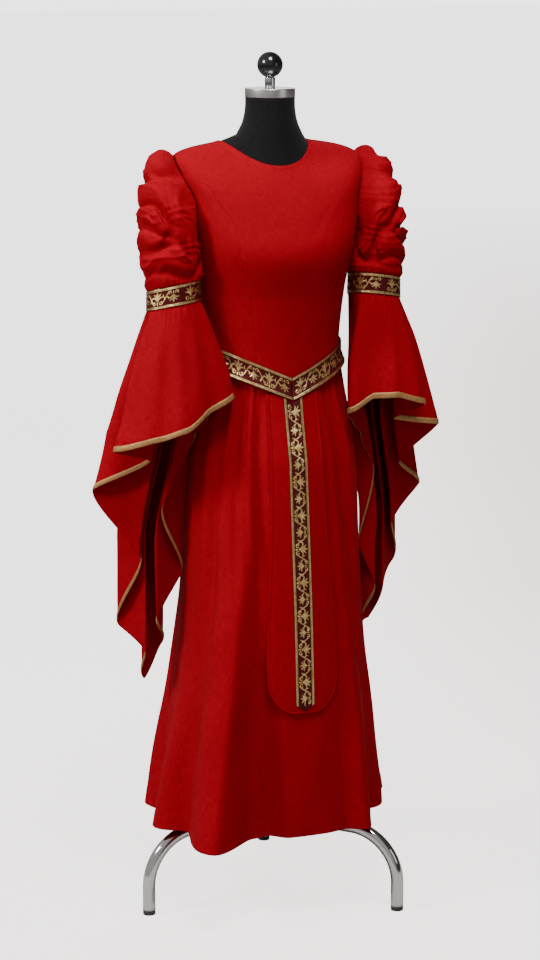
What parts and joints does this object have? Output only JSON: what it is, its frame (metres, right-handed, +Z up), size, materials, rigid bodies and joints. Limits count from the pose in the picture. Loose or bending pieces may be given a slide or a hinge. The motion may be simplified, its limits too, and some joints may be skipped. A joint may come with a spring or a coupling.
{
  "type": "medieval gown on a dress form stand",
  "caption": "Long medieval gown with ruched upper sleeves, deep bell sleeves, ribbon V belt and hanging front panel, on a limbless dress form with a chrome tripod stand.",
  "frame": {"origin": "middle of the footprint of the whole object, on the surface it stands on", "axes": "+Z up, the gown's front towards -Y, the wearer's left towards +X"},
  "size_m": [0.696, 0.5152, 1.6681],
  "materials": {
    "cloth": "soft brushed wool-linen cloth, matt, faint slub and heather",
    "ribbon": "woven burgundy ribbon with metallic gold scroll ornament",
    "braid": "narrow gold braid with glittering thread",
    "form": "black jersey over a foam form, matt",
    "plug": "black gloss plastic",
    "chrome": "bright chrome plate"
  },
  "bodies": {
    "root": {"bodice_front": "cloth", "bodice_back": "cloth", "skirt_front": "cloth", "skirt_back": "cloth", "front_panel": "cloth", "panel_trim": "ribbon", "belt_left": "ribbon", "belt_right": "ribbon", "sleeve_upper_left": "cloth", "arm_band_left": "ribbon", "bell_sleeve_left": "cloth", "hem_braid_left": "braid", "sleeve_upper_right": "cloth", "arm_band_right": "ribbon", "bell_sleeve_right": "cloth", "hem_braid_right": "braid", "form_torso": "form", "neck_cap": "chrome", "cap_post": "chrome", "ball_knob": "plug", "pole": "chrome", "hub": "chrome", "leg_1": "chrome", "leg_2": "chrome", "leg_3": "chrome", "foot_plug_1": "plug", "foot_plug_2": "plug", "foot_plug_3": "plug"}
  },
  "joints": []
}
